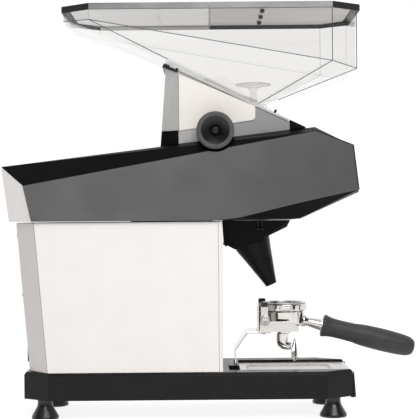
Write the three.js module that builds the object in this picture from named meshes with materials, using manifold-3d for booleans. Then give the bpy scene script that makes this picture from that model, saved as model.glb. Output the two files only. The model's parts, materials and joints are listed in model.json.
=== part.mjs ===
// Commercial on-demand burr coffee grinder with a portafilter in its fork.
// Millimetres. +X is the operator's side, -Y the operator's left, +Z up, Z = 0 the bench.
import * as THREE from 'three';
import { ConvexGeometry } from 'three/addons/geometries/ConvexGeometry.js';
import { mergeVertices } from 'three/addons/utils/BufferGeometryUtils.js';
import Module from 'manifold-3d';

const wasm = await Module();
wasm.setup();

// ---- Driving dimensions -------------------------------------------------------------
const CENTRE_X = 4.79; // middle of the whole length, which becomes X = 0
const GAP = 0.4; // clearance between parts that meet

const BASE = {
  rear: -271, front: 210, half: 87, chamferX: 39, chamferY: 27,
  bottom: 29.3, shoulder: 64.5, top: 68.5, bevel: 3, wall: 3,
};
const RECESS = { rear: 30, front: 230, half: 58, floor: 60.5 };
const FOOT = { xs: [-240.5, 180.7], y: 60, pad: 20, rim: 3.7, neck: 11.3, waist: 20, stud: 4 };

const COLUMN = {
  rear: -233.5, front: 14.5, cover: 20, half: 84, sheet: 2,
  bottom: 69, top: 286.2, rearFace: -263.4, rearHalf: 55, lean: -0.084,
};

const HEAD = { side: 87.5, crown: 62, wall: 2.5, panel: 2.1 };
const HEAD_SIDE = [
  [-266.5, 339.8], [156.4, 415.2], [209.4, 394], [216.8, 330.5],
  [132.5, 312.3], [46, 291.8], [10, 287.6], [-254.7, 288],
];
const HEAD_CROWN = [
  [-302, 368.5], [157, 423], [210.4, 394.8], [220.6, 328],
  [134.6, 289.6], [120, 288], [-291, 288],
];

const SEAT = { zAtOrigin: 491.1, slope: 0.47, plate: 3 };
const NECK = { rear: -42, heel: -60.5, front: 121, half: 60, wall: 2.5, footTop: 420 };
const THROAT = { x: 70, bore: 19, outer: 27, drop: 8 };

const HOPPER = { wall: 3, top: 596.8, half: 94, endHalf: 64 };
const LID = { bottom: 591.5, top: 601, half: 98, endHalf: 66, rear: -211.5, front: 223.9, seam: 4.7 };

const KNOB = { x: 11.5, z: 417.5, radius: 27, face: -98, back: -66, scoop: 31 };
const BURR = { x: 40.3, z: 370.3, radius: 37.5, tilt: Math.PI / 4 };

const PORTAFILTER = { x: 113.5, rim: 34.5, rimTop: 161.5, cup: 31 };
const FORK = { half: 42, floor: 122, sheet: 2, screwX: 83, screwZ: 139 };

// ---- Solid helpers ------------------------------------------------------------------

/** Welds a geometry, drops its empty triangles and turns it into a manifold solid. */
function solidOf(geometry) {
  const bare = new THREE.BufferGeometry();
  bare.setAttribute('position', geometry.getAttribute('position').clone());
  if (geometry.index) bare.setIndex(geometry.index.clone());
  const welded = mergeVertices(bare, 1e-4);
  const corners = Array.from(welded.getIndex().array);
  const triangles = [];
  for (let i = 0; i < corners.length; i += 3) {
    const [a, b, c] = corners.slice(i, i + 3);
    if (a !== b && b !== c && c !== a) triangles.push(a, b, c);
  }
  const points = welded.getAttribute('position').array;
  if (signedVolume(points, triangles) < 0) triangles.reverse();
  return new wasm.Manifold(new wasm.Mesh({
    numProp: 3,
    vertProperties: new Float32Array(points),
    triVerts: new Uint32Array(triangles),
  }));
}

function signedVolume(points, triangles) {
  let total = 0;
  const corner = (i) => new THREE.Vector3().fromArray(points, 3 * triangles[i]);
  for (let i = 0; i < triangles.length; i += 3) {
    total += corner(i).dot(corner(i + 1).cross(corner(i + 2)));
  }
  return total;
}

/** Turns a manifold solid back into a three.js geometry. */
function geometryOf(solid) {
  const mesh = solid.getMesh();
  const geometry = new THREE.BufferGeometry();
  geometry.setAttribute('position', new THREE.BufferAttribute(mesh.vertProperties, 3));
  geometry.setIndex(new THREE.BufferAttribute(mesh.triVerts, 1));
  return geometry;
}

const cut = (solid, ...tools) => tools.reduce((left, tool) => left.subtract(tool), solid);
const join = (solid, ...others) => others.reduce((sum, other) => sum.add(other), solid);

/** Extrudes an outline of [u, v] points, then maps u, v and the depth to three axes. */
function extruded(outline, holes, depth, axes, offset) {
  const vector = ([u, v]) => new THREE.Vector2(u, v);
  const shape = new THREE.Shape(outline.map(vector));
  for (const hole of holes) shape.holes.push(new THREE.Path(hole.map(vector)));
  const geometry = new THREE.ExtrudeGeometry(shape, { depth, bevelEnabled: false });
  geometry.applyMatrix4(new THREE.Matrix4().makeBasis(...axes));
  geometry.translate(...offset);
  return solidOf(geometry);
}

const X = new THREE.Vector3(1, 0, 0);
const Y = new THREE.Vector3(0, 1, 0);
const Z = new THREE.Vector3(0, 0, 1);

/** A plate drawn from the side as [x, z] points, from y0 to y1. */
const sidePlate = (outline, y0, y1, holes = []) =>
  extruded(outline, holes, y1 - y0, [X, Z, Y.clone().negate()], [0, y1, 0]);

/** A plate drawn from above as [x, y] points, from z0 to z1. */
const floorPlate = (outline, z0, z1, holes = []) =>
  extruded(outline, holes, z1 - z0, [X, Y, Z], [0, 0, z0]);

/** A box between two corners. */
function box([x0, y0, z0], [x1, y1, z1]) {
  const geometry = new THREE.BoxGeometry(x1 - x0, y1 - y0, z1 - z0);
  geometry.translate((x0 + x1) / 2, (y0 + y1) / 2, (z0 + z1) / 2);
  return solidOf(geometry);
}

/** The convex hull of [x, y, z] points. */
const hull = (points) => solidOf(new ConvexGeometry(points.map((p) => new THREE.Vector3(...p))));

/** Both mirror images of [x, y, z] points about the plane Y = 0. */
const mirrored = (points) => points.flatMap(([x, y, z]) => [[x, y, z], [x, -y, z]]);

/** A closed [radius, height] profile turned about the line from `origin` along `axis`. */
function turned(profile, origin, axis, segments = 24) {
  const points = profile.map(([r, h]) => new THREE.Vector2(r, h));
  points.push(points[0].clone());
  const geometry = new THREE.LatheGeometry(points, segments);
  const turn = new THREE.Quaternion().setFromUnitVectors(Y, axis.clone().normalize());
  geometry.applyQuaternion(turn);
  geometry.translate(...origin);
  return solidOf(geometry);
}

/** A round rod between two points. */
function rod(radius, from, to, segments = 24) {
  const start = new THREE.Vector3(...from);
  const axis = new THREE.Vector3(...to).sub(start);
  const length = axis.length();
  return turned([[0, 0], [radius, 0], [radius, length], [0, length]], from, axis, segments);
}

/** Points of a circle about `centre`, square to `axis`. */
function ring(radius, centre, axis, count = 24) {
  const turn = new THREE.Quaternion().setFromUnitVectors(Z, axis.clone().normalize());
  return Array.from({ length: count }, (_, i) => {
    const angle = (2 * Math.PI * i) / count;
    const point = new THREE.Vector3(radius * Math.cos(angle), radius * Math.sin(angle), 0);
    return point.applyQuaternion(turn).add(new THREE.Vector3(...centre)).toArray();
  });
}

/** A rectangle with round corners as outline points about (cx, cy). */
function roundRectangle(cx, cy, width, height, radius, steps = 4) {
  const points = [];
  const corners = [[1, 1], [-1, 1], [-1, -1], [1, -1]];
  corners.forEach(([sx, sy], quarter) => {
    for (let i = 0; i <= steps; i += 1) {
      const angle = (Math.PI / 2) * (quarter + i / steps);
      points.push([
        cx + sx * (width / 2 - radius) + radius * Math.cos(angle),
        cy + sy * (height / 2 - radius) + radius * Math.sin(angle),
      ]);
    }
  });
  return points;
}

/** A flat strip of one thickness that follows a path of [x, z] points, from y0 to y1. */
function bentStrip(path, thickness, y0, y1) {
  const side = (sign) => path.map(([x, z], i) => {
    const before = path[Math.max(i - 1, 0)];
    const after = path[Math.min(i + 1, path.length - 1)];
    const into = unit(before, i === 0 ? after : [x, z]);
    const out = unit(i === path.length - 1 ? before : [x, z], after);
    const mitre = [-(into[1] + out[1]), into[0] + out[0]];
    const scale = (sign * thickness) / (mitre[0] ** 2 + mitre[1] ** 2);
    return [x + mitre[0] * scale, z + mitre[1] * scale];
  });
  return sidePlate([...side(1), ...side(-1).reverse()], y0, y1);
}

function unit([x0, z0], [x1, z1]) {
  const length = Math.hypot(x1 - x0, z1 - z0);
  return [(x1 - x0) / length, (z1 - z0) / length];
}

// ---- Scene graph --------------------------------------------------------------------

const grinder = new THREE.Group();
grinder.position.x = -CENTRE_X;

const FINISH = {
  black: { color: 0x28282a, roughness: 0.5, metalness: 0.0 },
  deepBlack: { color: 0x0f0f10, roughness: 0.5, metalness: 0.0 },
  white: { color: 0xf1ede9, roughness: 0.4, metalness: 0.0 },
  cream: { color: 0xeae4df, roughness: 0.45, metalness: 0.0 },
  grey: { color: 0x646464, roughness: 0.45, metalness: 0.4 },
  satin: { color: 0xadaba8, roughness: 0.35, metalness: 1.0 },
  chrome: { color: 0xd8d6d2, roughness: 0.12, metalness: 1.0 },
  steel: { color: 0x9a9a98, roughness: 0.3, metalness: 1.0 },
  brass: { color: 0xb08d57, roughness: 0.35, metalness: 1.0 },
  aluminium: { color: 0xb4b4b2, roughness: 0.5, metalness: 1.0 },
  clear: { color: 0xf4f6f6, roughness: 0.05, metalness: 0.0, transparent: true, opacity: 0.3 },
  glass: { color: 0x0a0a0c, roughness: 0.08, metalness: 0.0 },
  grip: { color: 0x4d4d4f, roughness: 0.6, metalness: 0.0 },
  board: { color: 0x1f5a38, roughness: 0.6, metalness: 0.0 },
};

/** Adds one named part to the grinder; `mirror` makes its copy on the other side. */
function part(name, solid, finish, mirror = false) {
  const mesh = new THREE.Mesh(geometryOf(solid), new THREE.MeshStandardMaterial(FINISH[finish]));
  mesh.name = name;
  if (mirror) mesh.scale.y = -1;
  grinder.add(mesh);
}

/** Adds the same part on the operator's left and right. */
function pair(name, solid, finish) {
  part(`${name}_left`, solid, finish);
  part(`${name}_right`, solid, finish, true);
}

// ---- Base ---------------------------------------------------------------------------

/** The base's eight-sided plan, drawn `inset` inside its outer edge. */
function basePlan(inset) {
  const rear = BASE.rear + inset;
  const front = BASE.front - inset;
  const half = BASE.half - inset;
  const dx = BASE.chamferX - inset * 0.4;
  const dy = BASE.chamferY - inset * 0.4;
  return [
    [rear, -half + dy], [rear + dx, -half], [front - dx, -half], [front, -half + dy],
    [front, half - dy], [front - dx, half], [rear + dx, half], [rear, half - dy],
  ];
}

function buildBase() {
  const lift = (inset, z) => basePlan(inset).map(([x, y]) => [x, y, z]);
  const outer = hull([
    ...lift(0, BASE.bottom), ...lift(0, BASE.shoulder), ...lift(BASE.bevel, BASE.top),
  ]);
  const under = RECESS.floor - BASE.wall;
  const cavity = cut(
    floorPlate(basePlan(BASE.wall), 20, BASE.top - BASE.wall),
    box([RECESS.rear - 3, -RECESS.half - 3, under], [RECESS.front, RECESS.half + 3, 80]),
  );
  const recess = box([RECESS.rear, -RECESS.half, RECESS.floor], [RECESS.front, RECESS.half, 80]);
  const socket = cut(
    box([RECESS.rear - 1, -34.5, under + 1], [RECESS.rear + 14, 34.5, 72]),
    box([37.2, -33.5, 62.3], [41.2, 33.5, 80]),
  );
  part('base_frame', join(cut(outer, cavity, recess), socket), 'black');

  const studHoles = FOOT.xs.flatMap((x) => [-FOOT.y, FOOT.y].map((y) => circle(x, y, 4.6)));
  part('base_plate', floorPlate(basePlan(BASE.wall + GAP), 30, 31.5, studHoles), 'steel');

  const lip = [
    [210.4, 66], [212, 64.5], [214.6, 27.6], [207.4, 26.6], [207.4, 28.8], [210.4, 28.9],
  ];
  const notch = box([200, -RECESS.half, RECESS.floor], [230, RECESS.half, 80]);
  part('base_front_fascia', cut(sidePlate(lip, -59.6, 59.6), notch), 'black');
}

/** A circle as outline points. */
function circle(cx, cy, radius, count = 16) {
  return Array.from({ length: count }, (_, i) => {
    const angle = (2 * Math.PI * i) / count;
    return [cx + radius * Math.cos(angle), cy + radius * Math.sin(angle)];
  });
}

function buildFeet() {
  const bell = turned([
    [0, 0], [FOOT.pad, 0], [FOOT.pad, FOOT.rim], [FOOT.neck, FOOT.waist],
    [FOOT.neck, 29.6], [FOOT.stud, 29.6], [FOOT.stud, 40], [0, 40],
  ], [0, 0, 0], Z);
  const ends = [['rear', FOOT.xs[0]], ['front', FOOT.xs[1]]];
  for (const [end, x] of ends) {
    part(`foot_${end}_left`, bell.translate([x, -FOOT.y, 0]), 'deepBlack');
    part(`foot_${end}_right`, bell.translate([x, FOOT.y, 0]), 'deepBlack');
  }
}

function buildTray() {
  const sheet = 1.2;
  const half = RECESS.half - 0.6;
  const pan = box([45, -half, 60.9], [209.6, half, 65]);
  const hollow = cut(
    box([45 + sheet, -half + sheet, 55], [209.6 - sheet, half - sheet, 65 - sheet]),
    box([58, -28, 61.2], [181, 28, 70]),
  );
  const dish = floorPlate(roundRectangle(119.5, 0, 119, 52, 6), 62.4, 80);
  part('grounds_tray', cut(pan, hollow, dish), 'satin');
}

// ---- Column -------------------------------------------------------------------------

/** How far the column's rear leans back at a height. */
const lean = (z) => COLUMN.lean * (z - COLUMN.bottom);

function buildColumn() {
  const { bottom, top, half, sheet } = COLUMN;
  const side = [
    [COLUMN.rear + lean(top), top], [COLUMN.rear, bottom],
    [COLUMN.front, bottom], [COLUMN.front, top],
  ];
  pair('column_panel', sidePlate(side, -half, -half + sheet), 'white');

  const wrap = cut(
    floorPlate(roundRectangle(10, 0, 2 * (COLUMN.cover - 10), 2 * half, 2), bottom, top),
    box([0, -half + sheet, 0], [COLUMN.cover - sheet, half - sheet, 400]),
    box([-20, -200, 0], [COLUMN.front + GAP, 200, 400]),
  );
  part('column_front_cover', wrap, 'white');

  const section = (z, front, wide, rear, narrow) =>
    mirrored([[front + lean(z), wide, z], [rear + lean(z), narrow, z]]);
  const shell = (grow, ...points) => hull([
    ...section(bottom - grow, ...points), ...section(top + grow, ...points),
  ]);
  const outer = shell(0, COLUMN.rear - GAP, half, COLUMN.rearFace, COLUMN.rearHalf);
  const inner = shell(5, -220, 94.7, COLUMN.rearFace + sheet, COLUMN.rearHalf - 0.84);
  const inletHole = box([-300, -38.4, 84.6], [-240, -9.6, 109.4]);
  const switchHole = box([-300, 9.6, 85], [-240, 32.4, 109.4]);
  const vents = Array.from({ length: 9 }, (_, i) => {
    const z = 150 + 12 * i;
    return box([-330, -36, z], [-240, 36, z + 4]);
  });
  part('column_rear_cover', cut(outer, inner, inletHole, switchHole, ...vents), 'white');

  const frameBox = cut(
    box([-225, -69, 69.2], [10, 69, 280]),
    box([-222, -66, 72.2], [7, 66, 300]),
    sidePlate([[-190, 110], [-30, 110], [-30, 190], [-190, 240]], -80, 80),
    box([-10, -80, 235], [30, 80, 300]),
    box([-300, -52, 78], [-200, 52, 262]),
  );
  part('chassis_frame', frameBox, 'steel');
}

/** The mains inlet and its switch, on the rear face near the bench. */
function buildElectrics() {
  const faceAt = (z) => COLUMN.rearFace + lean(z);
  const x = faceAt(97) - 1.8;
  const inlet = cut(
    join(
      box([x - 1, -42, 81], [x, -6, 113]),
      box([x - 0.5, -38, 85], [x + 26, -10, 109]),
    ),
    box([x - 10, -35, 88], [x + 14, -13, 106]),
  );
  const pins = [-30, -24, -18].map((y) => box([x, y - 1, 95], [x + 20, y + 1, 99.5]));
  part('mains_inlet', join(inlet, ...pins), 'deepBlack');

  const rocker = hull([
    [x - 2.5, 10, 87], [x + 1, 10, 87], [x + 14, 10, 91], [x + 14, 10, 103], [x + 1, 10, 107],
    [x - 5.5, 10, 107], [x - 2.5, 32, 87], [x + 1, 32, 87], [x + 14, 32, 91],
    [x + 14, 32, 103], [x + 1, 32, 107], [x - 5.5, 32, 107],
  ]);
  part('power_switch', rocker, 'deepBlack');

  const board = join(
    box([-160, 40, 76], [-40, 41.6, 106]),
    box([-150, 28, 82], [-120, 40.2, 100]),
    box([-105, 32, 80], [-90, 40.2, 102]),
    box([-78, 30, 84], [-50, 40.2, 98]),
  );
  part('control_board', board, 'board');
}

// ---- Head ---------------------------------------------------------------------------

/** The head's outer body, or its hollow when `wall` is given. */
function headHull(wall = 0) {
  const centre = [-40, 350];
  const inset = ([x, z]) => [x - wall * Math.sign(x - centre[0]), z - wall * Math.sign(z - centre[1])];
  const side = HEAD_SIDE.map(inset).map(([x, z]) => [x, HEAD.side - wall, z]);
  const crown = HEAD_CROWN.map(inset).map(([x, z]) => [x, HEAD.crown - wall * 0.6, z]);
  return hull([...mirrored(side), ...mirrored(crown)]);
}

/** Height of the head's flat top at x. */
const crownAt = (x) => 368.5 + ((x + 302) * (423 - 368.5)) / 459;

function buildHead() {
  const scoopRod = (radius, depth) =>
    rod(radius, [KNOB.x, -depth, KNOB.z], [KNOB.x, -110, KNOB.z], 40);
  const scoop = scoopRod(KNOB.scoop, 65.4);
  const hollow = cut(headHull(HEAD.wall), scoopRod(KNOB.scoop + 2, 63));
  const shell = cut(
    headHull(), hollow, scoop,
    floorPlate([[-200, -58], [48, -58], [48, 58], [-200, 58]], 270, 300),
    box([54, -24, 270], [96, 24, 300]),
    box([-34, -50, 380], [112, 50, 440]),
    box([-100, 30, 270], [-60, 56, 300]),
  );
  const [[rearX, rearZ], [crownX, crownZ]] = [HEAD_SIDE[0], HEAD_CROWN[0]];
  const rise = (crownZ - rearZ) / (crownX - rearX);
  const rearZone = (shift) => sidePlate([
    [rearX + shift, rearZ + shift], [-254.7 + shift, 287], [-254.7 + shift, 270], [-360, 270],
    [-360, rearZ + shift + rise * (-360 - rearX)],
  ], -120, 120);
  const frontSkin = bentStrip(
    HEAD_CROWN.slice(1, 5), 8, -HEAD.crown, HEAD.crown,
  );
  part('head_shell', cut(shell, rearZone(GAP), frontSkin), 'deepBlack');
  part('head_rear_cover', shell.intersect(rearZone(0)), 'white');

  const y0 = -HEAD.side - GAP - HEAD.panel;
  const panel = sidePlate(HEAD_SIDE, y0, y0 + HEAD.panel);
  part('head_panel_left', cut(panel, scoop), 'grey');
  part('head_panel_right', panel, 'grey', true);
  buildFrontPanel();
}

/** The light front cover with the display window and three buttons. */
function buildFrontPanel() {
  const [top, upper, lower, under] = HEAD_CROWN.slice(1, 5);
  const half = HEAD.crown - 0.6;
  const face = unit(lower, upper);
  const out = [face[1], -face[0]];
  const onFace = (along, proud) => [
    lower[0] + face[0] * along + out[0] * proud, lower[1] + face[1] * along + out[1] * proud,
  ];
  const slab = (from, to, low, high, y0, y1) => sidePlate([
    onFace(from, low), onFace(to, low), onFace(to, high), onFace(from, high),
  ], y0, y1);
  const skin = bentStrip([top, upper, lower, under], 1.6, -half, half);
  const display = slab(28, 60, -12, 12, -42, 42);
  const buttonYs = [['single', -26], ['double', 0], ['menu', 26]];
  const button = (radius, y, low, high) => {
    const [x0, z0] = onFace(14, low);
    const [x1, z1] = onFace(14, high);
    return rod(radius, [x0, y, z0], [x1, y, z1], 24);
  };
  const holes = buttonYs.map(([, y]) => button(6.9, y, -8, 8));
  part('head_front_panel', cut(skin, display, ...holes), 'white');
  part('display_lens', slab(28.4, 59.6, -0.9, 1.1, -41.6, 41.6), 'glass');
  for (const [name, y] of buttonYs) part(`button_${name}`, button(6.5, y, -3, 2.6), 'satin');
}

// ---- Neck and hopper seat -----------------------------------------------------------

/** Height of the hopper seat's top face at x, `above` it measured straight up. */
const seatAt = (x, above = 0) => SEAT.zAtOrigin - SEAT.slope * x + above;
const SEAT_UP = new THREE.Vector3(SEAT.slope, 0, 1).normalize();
const SEAT_DOWNHILL = new THREE.Vector3(1, 0, -SEAT.slope).normalize();

/** A point on the seat's face at x, moved `up` square to it and `along` it downhill. */
function onSeat(x, up = 0, along = 0) {
  const point = new THREE.Vector3(x, 0, seatAt(x));
  point.addScaledVector(SEAT_UP, up).addScaledVector(SEAT_DOWNHILL, along);
  return point.toArray();
}

/** A slab lying parallel to the seat, from x0 to x1 and between two heights above it. */
function seatSlab(x0, x1, low, high, half) {
  const corner = (x, up) => {
    const [px, , pz] = onSeat(x, up);
    return [px, pz];
  };
  return sidePlate([corner(x0, low), corner(x1, low), corner(x1, high), corner(x0, high)], -half, half);
}

function buildNeck() {
  const { rear, heel, front, half, wall } = NECK;
  const under = (x) => seatAt(x, -4.2);
  const bottom = (x) => crownAt(x) + GAP;
  const tower = (inset, over) => hull(mirrored([
    [rear, half - inset, bottom(rear) - over], [rear, half - inset, under(rear) + over],
    [front - inset, half - inset, bottom(front) - over], [front - inset, half - inset, under(front) + over],
    [heel + inset, 40 - inset * 0.5, under(heel) + over],
    [heel - 9 + inset, 40 - inset * 0.5, bottom(heel - 9) - over],
  ]));
  const shaftHole = rod(6, [KNOB.x, -80, KNOB.z], [KNOB.x, 80, KNOB.z]);
  const tube = cut(tower(0, 0), tower(wall, 30), shaftHole);
  const footZone = (clear) => box([-90, -90, 380], [rear - clear, 90, NECK.footTop - clear]);
  part('neck_housing', cut(tube, footZone(0)), 'grey');
  part('neck_rear_foot', tube.intersect(footZone(GAP)), 'deepBlack');
  const tip = [
    [front + GAP, bottom(front + 3)], [front + GAP, seatAt(front)], [144, seatAt(144)], [144, bottom(144)],
  ];
  part('neck_front_tip', sidePlate(tip, -half, half), 'deepBlack');

  const cheek = sidePlate([
    [-41, 502], [-41, 419.5], [-15, 423.2], [37.4, 429.8], [64, 433.8], [68, 434.8], [70.3, 437.5],
    [70.3, 454.2],
  ], -half - GAP - 1.6, -half - GAP);
  const around = rod(KNOB.radius + 1.2, [KNOB.x, -80, KNOB.z], [KNOB.x, 80, KNOB.z], 40);
  pair('cheek_plate', cut(cheek, around), 'cream');
}

/** The plate the hopper stands on, with the funnel that leads the beans to the burrs. */
function buildSeat() {
  const plate = join(
    seatSlab(-53, NECK.front - 1, -SEAT.plate, 0, NECK.half),
    seatSlab(NECK.heel - 1.5, -52, -SEAT.plate, 2.4, 40),
  );
  const hole = rod(THROAT.outer + GAP, onSeat(THROAT.x, -SEAT.plate - 0.4), onSeat(THROAT.x, 20), 32);
  const cone = (r0, r1, top, low) => hull([
    ...ring(r0, onSeat(THROAT.x, top), SEAT_UP, 28), ...ring(r1, low, burrAxis, 28),
  ]);
  const outer = cone(33.5, 17.5, -SEAT.plate + 0.5, burrPoint(19));
  const inner = cone(31, 15, -SEAT.plate, burrPoint(18.8));
  part('hopper_seat', cut(join(plate, outer), hole, inner), 'satin');
}

// ---- Grinding mechanism -------------------------------------------------------------

const burrAxis = new THREE.Vector3(Math.sin(BURR.tilt), 0, Math.cos(BURR.tilt));
const burrCentre = new THREE.Vector3(BURR.x, 0, BURR.z);

/** A point on the burr axis, `s` up from the grinding faces. */
const burrPoint = (s) => burrCentre.clone().addScaledVector(burrAxis, s).toArray();

/** A part turned about the burr axis from [radius, s] points. */
const aboutBurrs = (profile, segments = 24) => turned(profile, burrPoint(0), burrAxis, segments);

/** A toothed ring about the burr axis between s0 and s1. */
function toothedRing(teeth, rootRadius, tipRadius, bore, s0, s1) {
  const outline = [];
  const tooth = [[0, rootRadius], [0.25, rootRadius], [0.4, tipRadius], [0.75, tipRadius]];
  for (let i = 0; i < teeth; i += 1) {
    for (const [share, radius] of tooth) {
      const angle = (2 * Math.PI * (i + share)) / teeth;
      outline.push([radius * Math.cos(angle), radius * Math.sin(angle)]);
    }
  }
  const turn = new THREE.Matrix4().makeRotationAxis(Y, BURR.tilt);
  const axes = [X, Y, Z].map((axis) => axis.clone().applyMatrix4(turn));
  return extruded(outline, [circle(0, 0, bore, 30)], s1 - s0, axes, burrPoint(s0));
}

/** A ring burr with `teeth` straight cutting grooves on the face at s = `face`. */
function burr(face, back, teeth) {
  const rim = Math.sign(face - back);
  const blank = aboutBurrs([
    [18, face - rim * 2.5], [27, face - rim * 0.6], [BURR.radius, face], [BURR.radius, back], [18, back],
  ]);
  const grooves = Array.from({ length: teeth }, (_, i) => {
    const groove = box([16, -0.9, -1.1], [BURR.radius + 2, 0.9, 1.1]);
    const spun = groove.translate([0, 3, 0]).rotate([0, 0, (360 * i) / teeth]);
    return spun.rotate([0, (BURR.tilt * 180) / Math.PI, 0]).translate(burrPoint(face));
  });
  return cut(blank, ...grooves);
}

function buildMechanism() {
  part('lower_burr', burr(-0.4, -8.4, 10), 'steel');
  part('upper_burr', burr(0.4, 8.0, 10), 'steel');
  part('lower_burr_carrier', aboutBurrs([
    [7.3, -20], [42, -20], [42, -13], [40, -8.8], [17.6, -8.8], [17.6, -4], [12, -2.5], [7.3, -2.5],
  ]), 'brass');
  part('upper_burr_carrier', aboutBurrs([
    [20, 8.4], [40.6, 8.4], [40.6, 18], [24, 18], [20, 14],
  ]), 'aluminium');
  part('adjust_ring', toothedRing(30, 44.6, 47.1, 41.1, 8.2, 18), 'brass');

  const chamber = aboutBurrs([
    [16, -30], [50, -30], [50, 7.6], [43.5, 7.6], [43.5, -24], [16, -24],
  ], 28);
  const away = new THREE.Vector3(burrAxis.z, 0, -burrAxis.x);
  const side = (r, s) => new THREE.Vector3(...burrPoint(s)).addScaledVector(away, r).toArray();
  part('grind_chamber', cut(chamber, rod(9, side(38, -14), side(60, -14))), 'aluminium');

  const chute = (r0, r1, over) => hull([
    ...ring(r0, side(50.8 - over, -14), away), ...ring(r1, [74, 0, 287.4 - over], Z),
  ]);
  part('exit_chute', cut(chute(13, 17, 0), chute(10.5, 14.5, 0.5)), 'black');

  part('motor_housing', aboutBurrs([
    [15.5, -31], [36, -31], [36, -90], [52, -96], [52, -215], [15.5, -215],
  ], 32), 'aluminium');
  part('rotor_shaft', aboutBurrs([
    [0, -2.6], [7, -2.6], [7, -44], [14.5, -46], [14.5, -200], [7, -202], [7, -234], [0, -234],
  ], 24), 'steel');

  const blades = Array.from({ length: 7 }, (_, i) => {
    const blade = box([12, -1, -6], [46, 1, 6]).rotate([35, 0, 0]).rotate([0, 0, (360 * i) / 7]);
    return blade.rotate([0, (BURR.tilt * 180) / Math.PI, 0]).translate(burrPoint(-225));
  });
  const hub = aboutBurrs([[7.3, -231], [15, -231], [15, -219], [7.3, -219]], 24);
  part('cooling_fan', join(hub, ...blades), 'black');
}

/** The grind setting: the dished knob and the worm on its shaft. */
function buildAdjuster() {
  const { x, z, radius, face, back } = KNOB;
  const depth = back - face;
  const front = [x, face, z];
  const inward = Y.clone();
  part('adjust_knob', turned([
    [0, 9], [4.2, 9], [5.4, 10.2], [5.4, 15], [19.5, 1.6], [20.6, 0], [25, 0], [radius, 1.8],
    [radius, depth - 3], [radius - 2, depth], [5.4, depth], [5.4, 20], [0, 20],
  ], front, inward, 32), 'black');
  part('worm_shaft', turned([
    [0, 20.5], [5, 20.5], [5, 86], [6.1, 88], [6.1, 108], [5, 110], [5, 150], [0, 150],
  ], front, inward, 20), 'steel');
}

// ---- Hopper and lid -----------------------------------------------------------------

/** The hopper's outer body, or its hollow when `wall` is given: a rear and a front half. */
function hopperHull(wall = 0) {
  const half = HOPPER.half - wall;
  const end = HOPPER.endHalf - wall * 0.6;
  const rim = wall ? HOPPER.top + 10 : HOPPER.top;
  const rise = wall * 0.8;
  const floor = (x) => seatAt(x, (3.6 + wall) * Math.hypot(1, SEAT.slope));
  const waist = [[-57, half, rim], [-57, half, 558 + rise], [-57, 71 - wall, floor(-57)]];
  const rear = [
    [-169, half, rim], [-209 + wall, end, rim],
    [-169, half, 577.8 + rise], [-209 + wall, end, 580 + rise],
  ];
  const front = [
    [181, half, rim], [219.5 - wall, end, rim],
    [181, half, 516 + rise], [219.5 - wall, end, 508 + wall * 1.2],
    [76 - wall * 0.4, 50 - wall, floor(76 - wall * 0.4)],
    [106 - wall, 30 - wall * 0.6, 466 + wall * 1.3],
  ];
  return join(hull(mirrored([...rear, ...waist])), hull(mirrored([...waist, ...front])));
}

function buildHopper() {
  const throat = rod(THROAT.outer, onSeat(THROAT.x, -THROAT.drop), onSeat(THROAT.x, 9), 32);
  const bore = rod(THROAT.bore, onSeat(THROAT.x, -30), onSeat(THROAT.x, 40), 32);
  const gateSlot = seatSlab(-10, 128, 0.8, 3.2, 22.2);
  const shell = cut(hopperHull(), hopperHull(HOPPER.wall));
  part('hopper', cut(join(shell, cut(throat, hopperHull(HOPPER.wall))), bore, gateSlot), 'clear');

  const hole = rod(THROAT.bore, onSeat(THROAT.x, -5), onSeat(THROAT.x, 8), 28);
  const blade = cut(seatSlab(-8, 101, 1.2, 2.8, 21.8), hole);
  part('hopper_gate', join(blade, seatSlab(98, 101, 1.2, 9, 21.8)), 'black');

  const guard = turned([
    [0, 467], [6.4, 467], [6.4, 484], [10, 489], [27, 491.5], [27, 493.5], [0, 496],
  ], [THROAT.x, 0, 0], Z, 28);
  const throatRoom = rod(THROAT.bore - 0.3, onSeat(THROAT.x, 3.6), onSeat(THROAT.x, 14), 28);
  const web = box([66, -30, 456], [73, 30, 470]).intersect(throatRoom);
  part('finger_guard', join(guard, web), 'clear');
}

/** The lid's eight-sided plan, drawn `inset` inside its edge. */
function lidPlan(inset) {
  const rear = LID.rear + inset;
  const front = LID.front - inset;
  const half = LID.half - inset;
  const end = LID.endHalf - inset * 0.4;
  return [
    [rear, -end], [-168.7, -half], [181.1, -half], [front, -end],
    [front, end], [181.1, half], [-168.7, half], [rear, end],
  ];
}

function buildLid() {
  const cap = cut(
    floorPlate(lidPlan(0), LID.bottom, LID.top),
    floorPlate(lidPlan(2.1), LID.bottom - 5, HOPPER.top + 0.8),
  );
  const front = box([LID.seam + 0.2, -150, 500], [300, 150, 700]);
  const rear = box([-300, -150, 500], [LID.seam - 0.2, 150, 700]);
  part('lid_rear', cap.intersect(rear), 'black');
  part('lid_front', cap.intersect(front), 'black');
}

// ---- Spout --------------------------------------------------------------------------

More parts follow.
